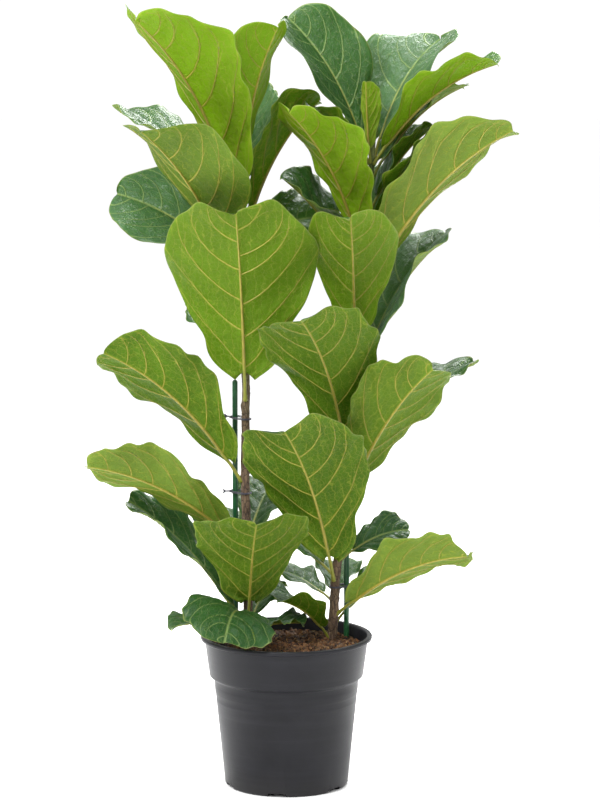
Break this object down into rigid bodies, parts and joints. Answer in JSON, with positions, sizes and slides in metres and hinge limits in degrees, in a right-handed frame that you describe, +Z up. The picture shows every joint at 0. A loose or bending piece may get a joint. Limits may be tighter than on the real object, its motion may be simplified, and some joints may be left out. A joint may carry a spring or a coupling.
{
  "type": "potted fiddle leaf fig",
  "caption": "Fiddle leaf fig with tall leafy stems tied to green canes, growing in a dark tapered nursery pot of soil.",
  "frame": {"origin": "middle of the pot's flat underside, on the floor", "axes": "+Z up along the pot's axis, -Y towards the front of the plant, +X to the viewer's right"},
  "size_m": [0.6805, 0.3793, 1.2442],
  "materials": {
    "pot_plastic": "satin dark grey",
    "potting_soil": "rough peat and coir",
    "bark": "matte bark",
    "cane_plastic": "glossy green coating",
    "tie_wire": "matte",
    "bud_sheath": "satin",
    "leaf_blade": "satin, waxy on top"
  },
  "bodies": {
    "root": {"pot": "pot_plastic", "soil": "potting_soil", "stem_left": "bark", "cane_left": "cane_plastic", "tie_left_1": "tie_wire", "tie_left_2": "tie_wire", "tie_left_3": "tie_wire", "bud_left": "bud_sheath", "stem_right": "bark", "cane_right": "cane_plastic", "tie_right_1": "tie_wire", "tie_right_2": "tie_wire", "tie_right_3": "tie_wire", "bud_right": "bud_sheath", "leaf_am": "leaf_blade", "leaf_an": "leaf_blade", "leaf_ad": "leaf_blade", "leaf_ae": "leaf_blade", "leaf_af": "leaf_blade", "leaf_ao": "leaf_blade", "leaf_ap": "leaf_blade", "leaf_ag": "leaf_blade", "leaf_ac": "leaf_blade", "leaf_z": "leaf_blade", "leaf_aa": "leaf_blade", "leaf_s": "leaf_blade", "leaf_d": "leaf_blade", "leaf_a": "leaf_blade", "leaf_e0": "leaf_blade", "leaf_e": "leaf_blade", "leaf_b": "leaf_blade", "leaf_c": "leaf_blade", "leaf_ax": "leaf_blade", "leaf_u": "leaf_blade", "leaf_al": "leaf_blade", "leaf_ai2": "leaf_blade", "leaf_ai": "leaf_blade", "leaf_ar": "leaf_blade", "leaf_aj": "leaf_blade", "leaf_ak": "leaf_blade", "leaf_ah": "leaf_blade", "leaf_ab": "leaf_blade", "leaf_x": "leaf_blade", "leaf_y": "leaf_blade", "leaf_w": "leaf_blade", "leaf_v": "leaf_blade", "leaf_t": "leaf_blade", "leaf_n": "leaf_blade", "leaf_o": "leaf_blade", "leaf_p": "leaf_blade", "leaf_r": "leaf_blade", "leaf_f": "leaf_blade", "leaf_g": "leaf_blade", "leaf_h": "leaf_blade", "leaf_i": "leaf_blade", "leaf_j": "leaf_blade", "leaf_k": "leaf_blade", "leaf_l": "leaf_blade", "leaf_m": "leaf_blade"}
  },
  "joints": []
}
